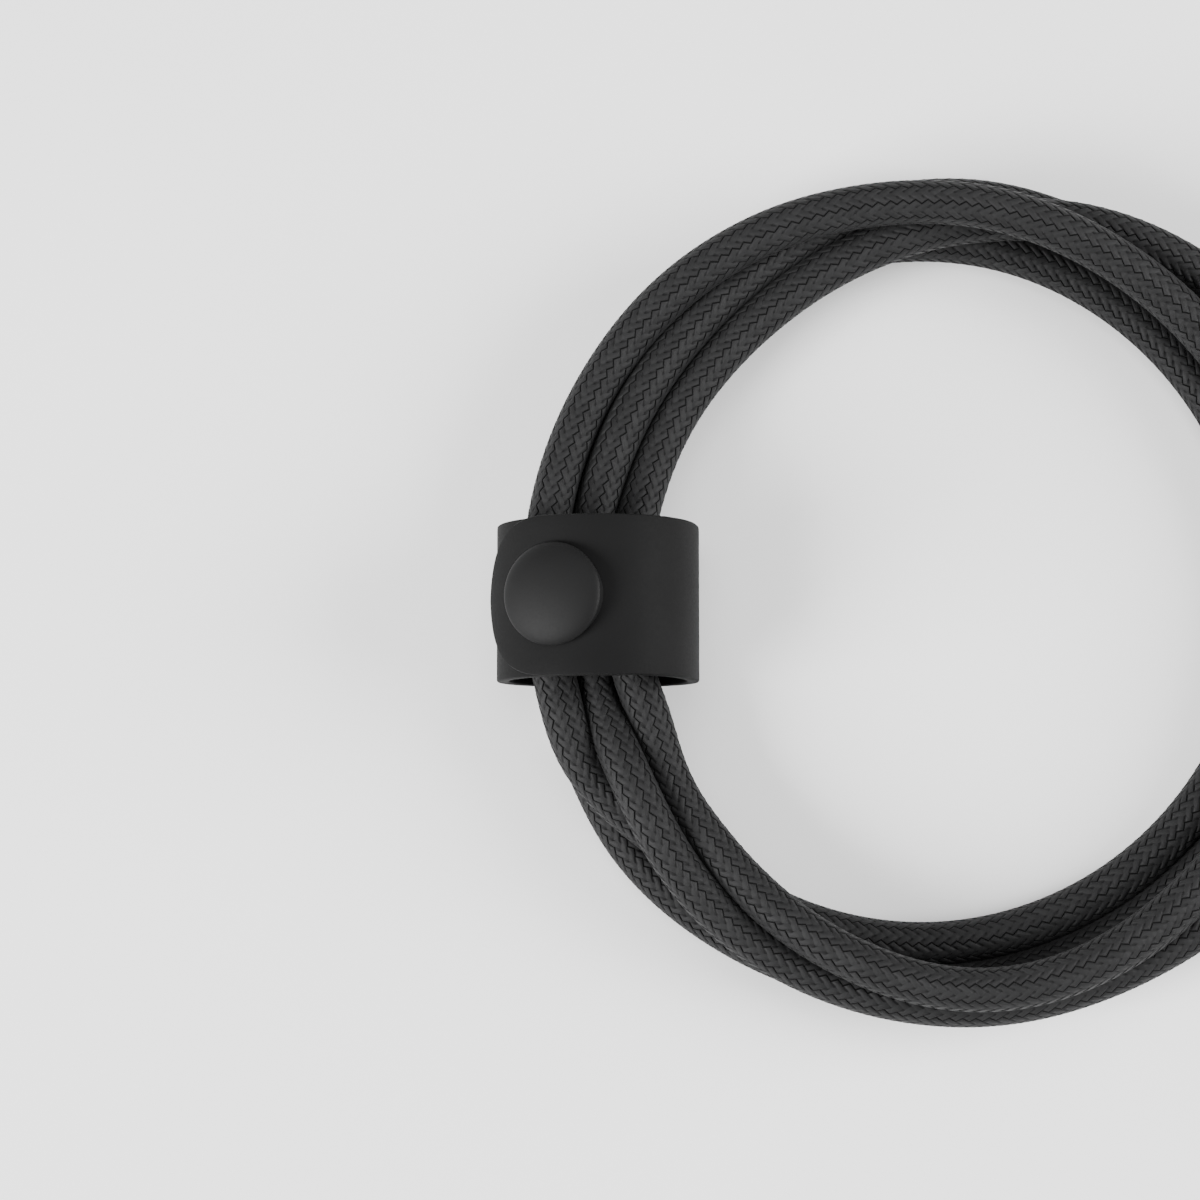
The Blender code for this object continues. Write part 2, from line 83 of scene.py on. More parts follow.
# Route of the cord. Each pass round the coil is a list of (angle, radius, height): the angle
# is in degrees from the strap, rising towards +Y, and the radius and height are in millimetres.
PASSES = (
    (
        (-158, 40.8, 6.0), (-146, 39.5, 6.0), (-132, 38.3, 5.8), (-116, 37.5, 5.6),
        (-101, 37.3, 5.6), (-90, 36.3, 5.5), (-80, 35.3, 5.5), (-70, 34.5, 5.6),
        (-60, 33.4, 6.2), (-48, 32.1, 7.4), (-38, 30.9, 7.5), (-28, 29.9, 6.6),
        (-18, 29.4, 5.6), (0, 28.9, 5.8), (14, 28.7, 6.4), (35, 29.7, 6.6),
        (60, 31.3, 6.0), (75, 32.9, 5.4), (85, 34.3, 4.6), (97, 36.4, 3.0),
        (110, 36.6, 2.2), (140, 36.6, 1.95),
    ),
    (
        (-180, 36.2, 1.95), (-150, 35.6, 1.95), (-125, 35.1, 1.95), (-90, 35.0, 1.95),
        (-74, 34.7, 1.95), (-60, 34.1, 1.95), (-50, 33.7, 1.95), (-37, 33.3, 1.95),
        (-25, 32.8, 2.4), (-14, 32.3, 3.3), (0, 31.7, 3.4), (14, 31.5, 3.3),
        (30, 31.6, 2.4), (60, 31.9, 1.95), (90, 32.2, 1.95), (106, 32.5, 1.95),
        (140, 32.2, 1.95),
    ),
    (
        (-180, 31.9, 1.95), (-140, 31.5, 1.95), (-105, 31.4, 1.95), (-68, 31.2, 2.2),
        (-54, 31.0, 3.0), (-42, 32.0, 4.4), (-32, 32.6, 5.8), (-20, 32.7, 7.2),
        (-10, 32.8, 7.6), (0, 33.0, 7.5), (12, 33.0, 7.2), (28, 33.3, 6.4),
        (41, 33.6, 6.8), (57, 33.8, 7.8), (70, 33.9, 8.5), (80, 34.0, 8.8),
        (95, 34.2, 8.8), (110, 34.2, 8.6), (125, 34.0, 7.8), (150, 34.2, 6.2),
    ),
    (
        (-180, 34.8, 5.8), (-150, 35.2, 6.6), (-120, 36.2, 8.0), (-101, 36.4, 8.6),
        (-90, 34.9, 8.6), (-80, 33.3, 8.2), (-68, 31.7, 7.4), (-57, 30.0, 6.2),
        (-50, 29.15, 5.8), (-40, 28.1, 6.2), (-31, 27.2, 7.0), (-21, 26.6, 7.6),
        (0, 25.9, 7.0), (17, 25.6, 6.0), (31, 26.0, 5.4), (42, 26.6, 5.2),
        (53, 27.5, 5.0), (62, 28.3, 5.2), (71, 29.4, 5.5), (82, 30.9, 5.6),
        (95, 32.9, 5.4), (108, 35.2, 5.3), (124, 37.6, 5.4), (142, 39.2, 5.1),
        (158, 40.8, 4.6),
    ),
)
# The two leads, each from the coil out to its plug, measured from the coil's axis.
LEAD_A = (
    (0.0381, -0.0150, 0.0060),
    (0.0406, -0.0090, 0.0064),
    (0.0434, -0.0020, 0.0064),
    (0.0463, 0.0050, 0.0052),
    (0.0483, 0.0093, 0.0036),
    (0.0490, 0.0122, 0.0030),
    (0.0490, 0.0165, 0.0030),
)
LEAD_B = (
    (0.0381, 0.0150, 0.0046),
    (0.0406, 0.0090, 0.0030),
    (0.0434, 0.0020, 0.00196),
    (0.0463, -0.0050, 0.0022),
    (0.0483, -0.0093, 0.0028),
    (0.0490, -0.0122, 0.0030),
    (0.0490, -0.0165, 0.0030),
)
FIRST_ANGLE = -153
LAST_ANGLE = 153
STEP_DEG = 3

# Settling of the passes: how near two axes may come, how softly they are pushed and drawn home.
AIM_SMOOTHINGS = 6
SETTLE_ROUNDS = 240
NEAREST_AXES = 0.95
SIDEWAYS_GIVE = 0.5
DRAW_HOME = 0.04

# The cord runs level over the strap's wall on both sides of the strap, then down to the table.
STRAP_CLEAR = 0.00025
RAISED_HALF_DEG = 34.0
RAMP_DEG = 13.0

# The braid: its seams' swing in columns, where each float's raised top sits within it, and a
# whole number that keeps the finish's counts of columns above zero.
ZIGZAG = 0.26
SHALLOW_SEAM = 0.6
TOP_ACROSS = (0.2, 0.8)
TOP_ALONG = (0.13, 0.87)
TUCKED_END = 0.25
COUNT_SHIFT = 32.0

# The strap's outline, in degrees from its top towards the right: upright sides from the
# shoulder, a round turn under, then a flat on the table.
SHOULDER_DEG = 90
TURN_UNDER_DEG = 60
FLAT_DEG = 30
FLAT_HALF = 0.0035
JOIN_DEG = 90.0
INNER_END_DEG = 14.0
TIP_DEG = -69.0
SNAP_DEG = -22.0
LIFT_START_DEG = 6
LIFT_END_DEG = 4
BAND_STEPS = 160
FLAP_STEPS = 110
TIP_BUNCHING = 1.25
TIP_BLUNT = 0.0004

# A strip's section: rows across each face, steps round each rim, and how full the rim is.
FACE_ROWS = 14
RIM_STEPS = 6
RIM_SPREAD = 2.2

# The snap's cap.
CAP_LIFT = 0.0003
CAP_SKIRT = 0.0012
CAP_STEPS = 18
HOLLOW_RADIUS = 0.0026

# Camera and lamps.
CAMERA_AIM = (0.00017, 0.00098, 0)
CAMERA_TILT_DEG = 84.4
CAMERA_DISTANCE = 0.28
CAMERA_LENS = 93.0
LAMPS = (
    ("key", (-0.50, -0.22, 0.36), 0.34, 10.5),
    ("fill", (0.58, 0.02, 0.30), 0.40, 8.5),
    ("top", (-0.05, 0.25, 0.75), 0.50, 2.6),
)
DAYLIGHT = 0.34
FLOOR_DROP = 0.00005


class CableSettings(bpy.types.PropertyGroup):
    """Sizes and colour of the braided cord"""

    diameter: bpy.props.FloatProperty(
        name="Diameter", description="Outside diameter of the cord", default=0.0039, unit="LENGTH"
    )
    columns: bpy.props.IntProperty(
        name="Braid columns", description="Rows of floats round the cord", default=16
    )
    pitch: bpy.props.FloatProperty(
        name="Braid pitch",
        description="Length of one float along the cord",
        default=0.00112,
        unit="LENGTH",
    )
    relief: bpy.props.FloatProperty(
        name="Relief",
        description="Height of a float over its crevice",
        default=0.00011,
        unit="LENGTH",
    )
    yarn: bpy.props.FloatVectorProperty(
        name="Yarn",
        description="Colour of the yarn",
        subtype="COLOR",
        default=(0.0135, 0.0135, 0.0138),
    )


class StrapSettings(bpy.types.PropertyGroup):
    """Sizes and colour of the strap and its snap"""

    wall: bpy.props.FloatProperty(
        name="Wall", description="Thickness of the silicone", default=0.0011, unit="LENGTH"
    )
    layer_gap: bpy.props.FloatProperty(
        name="Layer gap", description="Gap between flap and band", default=0.00003, unit="LENGTH"
    )
    edge: bpy.props.FloatProperty(
        name="Edge", description="Rounding of the rims", default=0.00013, unit="LENGTH"
    )
    cap_radius: bpy.props.FloatProperty(
        name="Cap radius", description="Radius of the snap's cap", default=0.00445, unit="LENGTH"
    )
    cap_rise: bpy.props.FloatProperty(
        name="Cap rise", description="Height of the cap's dome", default=0.0012, unit="LENGTH"
    )
    silicone: bpy.props.FloatVectorProperty(
        name="Silicone",
        description="Colour of the strap",
        subtype="COLOR",
        default=(0.0056, 0.0056, 0.0057),
    )


# ---------------------------------------------------------------- node helpers


def new_material(name, colour=(0.5, 0.5, 0.5), roughness=0.5, metallic=0.0):
    """A material and its main shader, with the plain values set."""
    material = bpy.data.materials.new(name)
    material.use_nodes = True
    shader = material.node_tree.nodes["Principled BSDF"]
    shader.inputs["Base Color"].default_value = (*colour, 1)
    shader.inputs["Roughness"].default_value = roughness
    shader.inputs["Metallic"].default_value = metallic
    return material, shader


def add_node(tree, kind, **values):
    """A node with some of its settings given."""
    node = tree.nodes.new(kind)
    for name, value in values.items():
        setattr(node, name, value)
    return node


def maths(tree, operation, *inputs):
    """A Math node on sockets or numbers, returning its output."""
    node = tree.nodes.new("ShaderNodeMath")
    node.operation = operation
    for socket, value in zip(node.inputs, inputs):
        if isinstance(value, (int, float)):
            socket.default_value = value
        else:
            tree.links.new(value, socket)
    return node.outputs[0]


def ramp(tree, value, low, high, start, end):
    """Map a value between two levels to a range, clamped."""
    node = tree.nodes.new("ShaderNodeMapRange")
    tree.links.new(value, node.inputs["Value"])
    for name, number in (("From Min", low), ("From Max", high), ("To Min", start), ("To Max", end)):
        node.inputs[name].default_value = number
    return node.outputs["Result"]


def blend_colour(tree, factor, first, second):
    """Mix two colours, each a socket or a plain (r, g, b)."""
    node = tree.nodes.new("ShaderNodeMix")
    node.data_type = "RGBA"
    tree.links.new(factor, node.inputs["Factor"])
    for socket, value in ((node.inputs["A"], first), (node.inputs["B"], second)):
        if isinstance(value, tuple):
            socket.default_value = (*value, 1)
        else:
            tree.links.new(value, socket)
    return node.outputs["Result"]


def noise(tree, scale, detail=3.0, vector=None):
    """Fine noise fixed to the piece, unless another vector is given."""
    node = tree.nodes.new("ShaderNodeTexNoise")
    node.inputs["Scale"].default_value = scale
    node.inputs["Detail"].default_value = detail
    if vector is None:
        vector = tree.nodes.new("ShaderNodeTexCoord").outputs["Object"]
    tree.links.new(vector, node.inputs["Vector"])
    return node.outputs["Fac"]


def bump(tree, height, strength, distance, shader):
    """Raise the shader's surface by a height."""
    node = tree.nodes.new("ShaderNodeBump")
    node.inputs["Strength"].default_value = strength
    node.inputs["Distance"].default_value = distance
    tree.links.new(height, node.inputs["Height"])
    tree.links.new(node.outputs["Normal"], shader.inputs["Normal"])


def fine_grain_group():
    """A shared group: fine moulded grain, as a tone, a roughness and a height."""
    name = "Moulded Grain"
    if name in bpy.data.node_groups:
        return bpy.data.node_groups[name]
    group = bpy.data.node_groups.new(name, "ShaderNodeTree")
    for label, kind in (("Scale", "NodeSocketFloat"), ("Roughness", "NodeSocketFloat")):
        group.interface.new_socket(label, in_out="INPUT", socket_type=kind)
    for label in ("Tone", "Roughness", "Height"):
        group.interface.new_socket(label, in_out="OUTPUT", socket_type="NodeSocketFloat")
    entry = group.nodes.new("NodeGroupInput")
    leave = group.nodes.new("NodeGroupOutput")
    place = group.nodes.new("ShaderNodeTexCoord").outputs["Object"]
    fine = group.nodes.new("ShaderNodeTexNoise")
    group.links.new(place, fine.inputs["Vector"])
    group.links.new(entry.outputs["Scale"], fine.inputs["Scale"])
    broad = noise(group, 160.0, 2.0, place)
    tone = ramp(group, broad, 0.3, 0.7, 0.94, 1.06)
    uneven = ramp(group, fine.outputs["Fac"], 0.3, 0.7, -0.04, 0.04)
    rough = maths(group, "ADD", entry.outputs["Roughness"], uneven)
    group.links.new(tone, leave.inputs["Tone"])
    group.links.new(rough, leave.inputs["Roughness"])
    group.links.new(fine.outputs["Fac"], leave.inputs["Height"])
    return group


def grained_material(name, colour, roughness, scale, depth, specular=0.5):
    """Moulded plastic or silicone with a fine grain."""
    material, shader = new_material(name, colour, roughness)
    tree = material.node_tree
    grain = tree.nodes.new("ShaderNodeGroup")
    grain.node_tree = fine_grain_group()
    grain.inputs["Scale"].default_value = scale
    grain.inputs["Roughness"].default_value = roughness
    dark = tuple(channel * 0.9 for channel in colour)
    light = tuple(channel * 1.1 for channel in colour)
    tone = ramp(tree, grain.outputs["Tone"], 0.94, 1.06, 0.0, 1.0)
    mixed = blend_colour(tree, tone, dark, light)
    tree.links.new(mixed, shader.inputs["Base Color"])
    tree.links.new(grain.outputs["Roughness"], shader.inputs["Roughness"])
    shader.inputs["Specular IOR Level"].default_value = specular
    bump(tree, grain.outputs["Height"], 0.35, depth, shader)
    return material


def braid_material(settings):
    """Herringbone braid: the cord's UV counts columns round it and floats along it."""
    material, shader = new_material("charcoal_braid", settings.yarn, 0.5)
    tree = material.node_tree
    uv = add_node(tree, "ShaderNodeUVMap", uv_map="Braid")
    split = tree.nodes.new("ShaderNodeSeparateXYZ")
    tree.links.new(uv.outputs["UV"], split.inputs[0])
    around, along = split.outputs["X"], split.outputs["Y"]

    # The column a point is in, with the seams' zigzag taken out, and its place across it.
    wave = maths(tree, "SUBTRACT", maths(tree, "PINGPONG", along, 0.5), 0.25)
    swing = maths(tree, "MULTIPLY", wave, 4 * ZIGZAG)
    shifted = maths(tree, "ADD", maths(tree, "SUBTRACT", around, swing), COUNT_SHIFT)
    column = maths(tree, "FLOOR", shifted)
    local = maths(tree, "FRACT", shifted)
    odd = maths(tree, "MODULO", column, 2.0)
    way = maths(tree, "SUBTRACT", 1.0, maths(tree, "MULTIPLY", odd, 2.0))

    # The float a point is in: floats lean one way in even columns and the other way in odd ones.
    lean = maths(tree, "MULTIPLY", maths(tree, "MULTIPLY", way, local), 0.5)
    position = maths(tree, "ADD", maths(tree, "ADD", along, lean), 2 * COUNT_SHIFT + 0.5)
    doubled = maths(tree, "MULTIPLY", maths(tree, "FRACT", position), 2.0)
    end = maths(tree, "ABSOLUTE", maths(tree, "SUBTRACT", doubled, 1.0))
    seam_side = maths(tree, "ADD", odd, maths(tree, "MULTIPLY", way, local))

    # Seam, valley and tucked-end masks make one relief that raises the bump and also paints shade
    # into the colour: near black in the seams and tucked ends, milder towards the shallow seam,
    # with fine filaments over all.
    seam = ramp(tree, seam_side, 0.015, 0.13, 0.0, 1.0)
    valley_dip_and_shade = ramp(tree, seam_side, 0.45, 1.0, 1.0, 0.72)
    near_end = ramp(tree, end, 0.72, 0.97, 0.0, 1.0)
    tucked_end_dip_and_shade = maths(tree, "MULTIPLY", near_end, ramp(tree, seam_side, 0.0, 1.0, 0.35, 1.0))
    raised = maths(tree, "SUBTRACT", 1.0, maths(tree, "MULTIPLY", tucked_end_dip_and_shade, 0.7))
    # body is the relief map and also the painted-shade mask for the colour.
    body = maths(tree, "MULTIPLY", maths(tree, "MULTIPLY", seam, valley_dip_and_shade), raised)
    twist = maths(tree, "ADD", along, maths(tree, "MULTIPLY", way, around))
    filament = maths(tree, "SINE", maths(tree, "MULTIPLY", twist, 2 * pi * 7))
    height = maths(tree, "ADD", body, maths(tree, "MULTIPLY", filament, 0.025))

    # Each float takes its own shade of the yarn.
    pair = tree.nodes.new("ShaderNodeCombineXYZ")
    tree.links.new(column, pair.inputs[0])
    tree.links.new(maths(tree, "FLOOR", position), pair.inputs[1])
    scatter = add_node(tree, "ShaderNodeTexWhiteNoise", noise_dimensions="2D")
    tree.links.new(pair.outputs[0], scatter.inputs["Vector"])
    yarn = tuple(settings.yarn)
    bright = tuple(channel * 1.3 for channel in yarn)
    # A near-black copy of the yarn, painted in as shade where the relief is low.
    painted_crevice_shade = tuple(channel * 0.05 for channel in yarn)
    pale = blend_colour(tree, scatter.outputs["Value"], yarn, bright)
    # Painted shade: the yarn is blended towards the near-black copy in the seams, valleys and
    # tucked ends.
    yarn_with_painted_shade = blend_colour(tree, ramp(tree, body, 0.0, 0.75, 0.0, 1.0), painted_crevice_shade, pale)
    tree.links.new(yarn_with_painted_shade, shader.inputs["Base Color"])
    tree.links.new(ramp(tree, body, 0.0, 1.0, 0.9, 0.55), shader.inputs["Roughness"])
    shader.inputs["Specular IOR Level"].default_value = 0.12
    shader.inputs["Sheen Weight"].default_value = 0.01
    shader.inputs["Sheen Roughness"].default_value = 0.4
    bump(tree, height, 1.0, 0.00015, shader)
    return material


def steel_material():
    """Drawn steel with fine lines along the plug."""
    material, shader = new_material("drawn_steel", (0.62, 0.62, 0.63), 0.28, 1.0)
    tree = material.node_tree
    place = tree.nodes.new("ShaderNodeTexCoord")
    stretch = tree.nodes.new("ShaderNodeMapping")
    stretch.inputs["Scale"].default_value = (9000.0, 120.0, 9000.0)
    tree.links.new(place.outputs["Object"], stretch.inputs["Vector"])
    lines = noise(tree, 1.0, 2.0, stretch.outputs["Vector"])
    tree.links.new(ramp(tree, lines, 0.3, 0.7, 0.22, 0.36), shader.inputs["Roughness"])
    tree.links.new(
        blend_colour(tree, lines, (0.55, 0.55, 0.56), (0.7, 0.7, 0.71)), shader.inputs["Base Color"]
    )
    bump(tree, lines, 0.15, 0.00001, shader)
    return material


def metal_material(name, dark, light, roughness):
    """Plated or bare metal with slight cloudiness."""
    material, shader = new_material(name, light, roughness, 1.0)
    tree = material.node_tree
    cloud = noise(tree, 900.0, 4.0)
    tree.links.new(blend_colour(tree, cloud, dark, light), shader.inputs["Base Color"])
    rough = ramp(tree, cloud, 0.3, 0.7, roughness - 0.06, roughness + 0.08)
    tree.links.new(rough, shader.inputs["Roughness"])
    bump(tree, cloud, 0.2, 0.00001, shader)
    return material


def board_material():
    """Solder mask with copper tracks showing faintly through it."""
    material, shader = new_material("solder_mask", (0.02, 0.13, 0.06), 0.35)
    tree = material.node_tree
    place = tree.nodes.new("ShaderNodeTexCoord")
    wave = tree.nodes.new("ShaderNodeTexWave")
    wave.inputs["Scale"].default_value = 620.0
    wave.inputs["Distortion"].default_value = 0.0
    tree.links.new(place.outputs["Object"], wave.inputs["Vector"])
    track = ramp(tree, wave.outputs["Fac"], 0.55, 0.65, 0.0, 1.0)
    green = blend_colour(tree, track, (0.015, 0.1, 0.05), (0.03, 0.2, 0.08))
    tree.links.new(green, shader.inputs["Base Color"])
    bump(tree, track, 0.3, 0.00003, shader)
    return material


# ---------------------------------------------------------------- mesh helpers


def ease(share):
    """A soft start and end for a share from 0 to 1."""
    return share * share * (3 - 2 * share)


def object_from(name, builder, material, smooth_deg=35):
    """An object from a bmesh, smooth but for edges sharper than the given angle."""
    mesh = bpy.data.meshes.new(name)
    builder.to_mesh(mesh)
    builder.free()
    mesh.shade_smooth()
    mesh.set_sharp_from_angle(angle=radians(smooth_deg))
    made = bpy.data.objects.new(name, mesh)
    bpy.context.scene.collection.objects.link(made)
    mesh.materials.append(material)
    return made


def smooth_line(points, step):
    """Points evenly spaced along a Catmull-Rom curve through the given ones."""
    points = np.asarray(points, float)
    ends = np.vstack([2 * points[0] - points[1], points, 2 * points[-1] - points[-2]])
    dense = []
    for index in range(len(points) - 1):
        p0, p1, p2, p3 = ends[index : index + 4]
        t = np.linspace(0, 1, 24, endpoint=False)[:, None]
        dense.append(
            0.5
            * (
                2 * p1
                + (p2 - p0) * t
                + (2 * p0 - 5 * p1 + 4 * p2 - p3) * t**2
                + (3 * p1 - p0 - 3 * p2 + p3) * t**3
            )
        )
    dense = np.vstack(dense + [points[-1:]])
    along = np.concatenate([[0], np.cumsum(np.linalg.norm(np.diff(dense, axis=0), axis=1))])
    count = max(int(round(along[-1] / step)), 2)
    wanted = np.linspace(0, along[-1], count + 1)
    return np.column_stack([np.interp(wanted, along, dense[:, axis]) for axis in range(3)])


def floor_height(angles, diameter):
    """Lowest height of a cord's axis: the table, or the strap's wall under the strap."""
    share = np.clip((RAISED_HALF_DEG - np.abs(angles)) / RAMP_DEG, 0, 1)
    wall = bpy.context.scene.strap_settings.wall
    return diameter / 2 + ease(share) * (wall + STRAP_CLEAR)


def coil_passes(diameter):
    """(angles, radius, height) of the passes, pushed apart until they only press together."""
    end = 360 * (len(PASSES) - 1) + LAST_ANGLE
    angles = np.arange(FIRST_ANGLE, end + 1, STEP_DEG, dtype=float)
    knots = np.array(
        [(a + 360 * lap, r * MM, z * MM) for lap, turn in enumerate(PASSES) for a, r, z in turn]
    )
    aim_r = np.interp(angles, knots[:, 0], knots[:, 1])
    aim_z = np.interp(angles, knots[:, 0], knots[:, 2])
    for _ in range(AIM_SMOOTHINGS):
        aim_r[1:-1] = (aim_r[:-2] + 2 * aim_r[1:-1] + aim_r[2:]) / 4
        aim_z[1:-1] = (aim_z[:-2] + 2 * aim_z[1:-1] + aim_z[2:]) / 4
    radius, height = aim_r.copy(), aim_z.copy()
    lap = 360 // STEP_DEG
    lowest = floor_height((angles + 180) % 360 - 180, diameter)
    reach = diameter * NEAREST_AXES
    for _ in range(SETTLE_ROUNDS):
        for gap in range(1, len(PASSES)):
            near, far = slice(0, len(angles) - gap * lap), slice(gap * lap, None)
            dr = radius[far] - radius[near]
            dz = height[far] - height[near]
            apart = np.hypot(dr, dz) + 1e-9
            push = np.clip(reach - apart, 0, None) / 2 / apart
            radius[near] -= SIDEWAYS_GIVE * push * dr
            radius[far] += SIDEWAYS_GIVE * push * dr
            height[near] -= push * dz
            height[far] += push * dz
        radius += DRAW_HOME * (aim_r - radius)
        height += DRAW_HOME * (aim_z - height)
        for values in (radius, height):
            values[1:-1] = 0.2 * values[:-2] + 0.6 * values[1:-1] + 0.2 * values[2:]
        height = np.maximum(height, lowest)
    return angles, radius, height


def cord_route(diameter, step):
    """The whole centreline, from plug a round the coil to plug b."""
    angles, radius, height = coil_passes(diameter)
    turn = np.radians(angles)
    coil = np.column_stack([-radius * np.cos(turn), radius * np.sin(turn), height])
    points = np.vstack([np.array(LEAD_A[::-1]), coil, np.array(LEAD_B)])
    points[:, 0] += COIL_AXIS_X
    return smooth_line(points, step)


def carried_frames(line):
    """Unit tangents and two cross directions carried along a line without twist."""
    tangents = np.gradient(line, axis=0)
    tangents /= np.linalg.norm(tangents, axis=1)[:, None]
    side = np.zeros_like(line)
    current = np.cross(tangents[0], (0, 0, 1.0))
    for index, tangent in enumerate(tangents):
        current = current - tangent * (current @ tangent)
        current /= np.linalg.norm(current)
        side[index] = current
    return tangents, side, np.cross(tangents, side)


def braid_lattice(line, settings):
    """The braid's low points: one ring of column seams for every half float, in a zigzag."""
    rows = len(line)
    _, side, lift = carried_frames(line)
    seam, half = np.meshgrid(np.arange(settings.columns + 1), np.arange(rows))
    around = seam + ZIGZAG * np.where(half % 2 == 0, -1, 1)
    depth = np.where(seam % 2 == 0, settings.relief, settings.relief * SHALLOW_SEAM)
    return side, lift, around, half / 2, settings.diameter / 2 - depth


def float_corners(even, start):
    """One float's six corners in order, as (seam, half float) from its column's first seam."""
    if even:
        first, second, last = (0, start + 2), (0, start + 3), (0, start + 1)
    else:
        first, second, last = (0, start), (0, start + 1), (0, start - 1)
    return [first, second, (1, start + 2), (1, start + 1), (1, start), last]


def braided_tube(name, line, settings, material):
    """A tube of overlapping floats: each stands proud of the lattice round it."""
    side, lift, around, along, low = braid_lattice(line, settings)
    rows, columns = len(line), settings.columns
    last = rows - 1

    def place(a, v, radius):
        """Points on the tube at a columns round it and v floats along it."""
        row = np.clip(v * 2, 0, last)
        near = np.minimum(row.astype(int), last - 1)
        share = (row - near)[:, None]
        middle = line[near] * (1 - share) + line[near + 1] * share
        out = side[near] * (1 - share) + side[near + 1] * share
        up = lift[near] * (1 - share) + lift[near + 1] * share
        turn = a / columns * 2 * pi
        outwards, upwards = radius * np.cos(turn), radius * np.sin(turn)
        return middle + outwards[:, None] * out + upwards[:, None] * up

    lattice = place(around[:, :-1].ravel(), along[:, :-1].ravel(), low[:, :-1].ravel())
    lattice_uv = np.column_stack([around.ravel(), along.ravel()])
    points, faces, uvs = [lattice], [], []
    inner_a, inner_v, inner_r = [], [], []
    base = len(lattice)

    def corner(column, seam, row):
        """A lattice point's number in the mesh, and its number in the unwrapped grid."""
        row = min(max(row, 0), last)
        return row * columns + (column + seam) % columns, row * (columns + 1) + column + seam

    for column in range(columns):
        even = column % 2 == 0
        for start in range(-2, last + 2, 2):
            ring = float_corners(even, start)
            if max(row for _, row in ring) <= 0 or min(row for _, row in ring) >= last:
                continue
            verts = [corner(column, seam, row) for seam, row in ring]
            if len({vert[0] for vert in verts}) < 6:
                unique = list(dict.fromkeys(verts))
                if len(unique) > 2:
                    faces.append([vert[0] for vert in unique])
                    uvs.extend(lattice_uv[vert[1]] for vert in unique)
                continue
            spots = [lattice_uv[vert[1]] for vert in verts]
            ends = (0, 1, 3, 4) if even else (0, 5, 3, 2)
            p, q, r, t = (spots[index] for index in ends)
            first = base + len(inner_a)
            made = []
            (left, right), (upper, lower) = TOP_ACROSS, TOP_ALONG
            for across, down in ((left, upper), (right, upper), (right, lower), (left, lower)):
                here, there = p * (1 - across) + q * across, t * (1 - across) + r * across
                spot = here * (1 - down) + there * down
                made.append(spot)
                inner_a.append(spot[0])
                inner_v.append(spot[1])
                seam_end = down < 0.5 if even else down > 0.5
                sunk = 0.0 if seam_end else settings.relief * TUCKED_END
                inner_r.append(settings.diameter / 2 - sunk)
            ids = [first, first + 1, first + 2, first + 3]
            near = [verts[index][0] for index in ends]
            mids = (2, 5) if even else (4, 1)
            sides = (
                ([near[0], near[1], ids[1], ids[0]], [p, q, made[1], made[0]]),
                (
                    [near[1], verts[mids[0]][0], near[2], ids[2], ids[1]],
                    [q, spots[mids[0]], r, made[2], made[1]],
                ),
                ([near[2], near[3], ids[3], ids[2]], [r, t, made[3], made[2]]),
                (
                    [near[3], verts[mids[1]][0], near[0], ids[0], ids[3]],
                    [t, spots[mids[1]], p, made[0], made[3]],
                ),
                (ids, made),
            )
            for face, spots_of in sides:
                faces.append(face)
                uvs.extend(spots_of)
    points.append(place(np.array(inner_a), np.array(inner_v), np.array(inner_r)))
    for row in (0, last):
        faces.append([row * columns + column for column in range(columns)])
        uvs.extend([(0.5, row / 2)] * columns)
    mesh = bpy.data.meshes.new(name)
    mesh.from_pydata(np.vstack(points).tolist(), [], faces)
    layer = mesh.uv_layers.new(name="Braid")
    layer.data.foreach_set("uv", np.array(uvs, dtype=np.float32).reshape(-1))
    builder = bmesh.new()
    builder.from_mesh(mesh)
    bmesh.ops.recalc_face_normals(builder, faces=builder.faces)
    bmesh.ops.triangulate(builder, faces=[face for face in builder.faces if len(face.verts) == 5])
    builder.to_mesh(mesh)
    builder.free()
    mesh.shade_smooth()
    mesh.materials.append(material)
    made = bpy.data.objects.new(name, mesh)
    bpy.context.scene.collection.objects.link(made)
    return made


# ---------------------------------------------------------------- strap shape


def strap_outline(angle, offset=0.0):
    """A point on the strap's outline as (x, z); the angle runs from its top, + to the right."""
    reach = STRAP_RADIUS + offset
    if abs(angle) <= SHOULDER_DEG:
        return reach * sin(radians(angle)), STRAP_DEPTH + reach * cos(radians(angle))
    side = 1 if angle > 0 else -1
    past = abs(angle) - SHOULDER_DEG
    round_part = min(past, TURN_UNDER_DEG) / TURN_UNDER_DEG * pi / 2
    flat_part = max(past - TURN_UNDER_DEG, 0) / FLAT_DEG
    across = FLAT_HALF * (1 - flat_part) + (reach - FLAT_HALF) * cos(round_part)
    return side * across, STRAP_DEPTH - (STRAP_DEPTH + offset) * sin(round_part)


def band_lift(angle, settings):
    """How far the flap climbs over the band's inner end."""
    start, end = JOIN_DEG - LIFT_START_DEG, INNER_END_DEG + LIFT_END_DEG
    share = min(max((start - angle) / (start - end), 0), 1)
    return (settings.wall + settings.layer_gap) * ease(share)


def strip_ring(outer, inner, half, edge):
    """One closed section of a strip: out along one face, round a rim, back along the other."""
    ring = []
    flat = half - edge
    middle = ((outer[0] + inner[0]) / 2, (outer[1] + inner[1]) / 2)
    for side, face in ((1, outer), (-1, inner)):
        for step in range(FACE_ROWS + 1):
            ring.append((face[0], side * (-flat + 2 * flat * step / FACE_ROWS), face[1]))
        for step in range(1, RIM_STEPS):
            turn = pi * step / RIM_STEPS
            way = side * cos(turn)
            power = abs(way) ** 0.35 * (1 if way > 0 else -1)
            ring.append(
                (
                    middle[0] + (outer[0] - middle[0]) * power,
                    side * (flat + edge * sin(turn) ** 0.6),
                    middle[1] + (outer[1] - middle[1]) * power,
                )
            )
    return ring


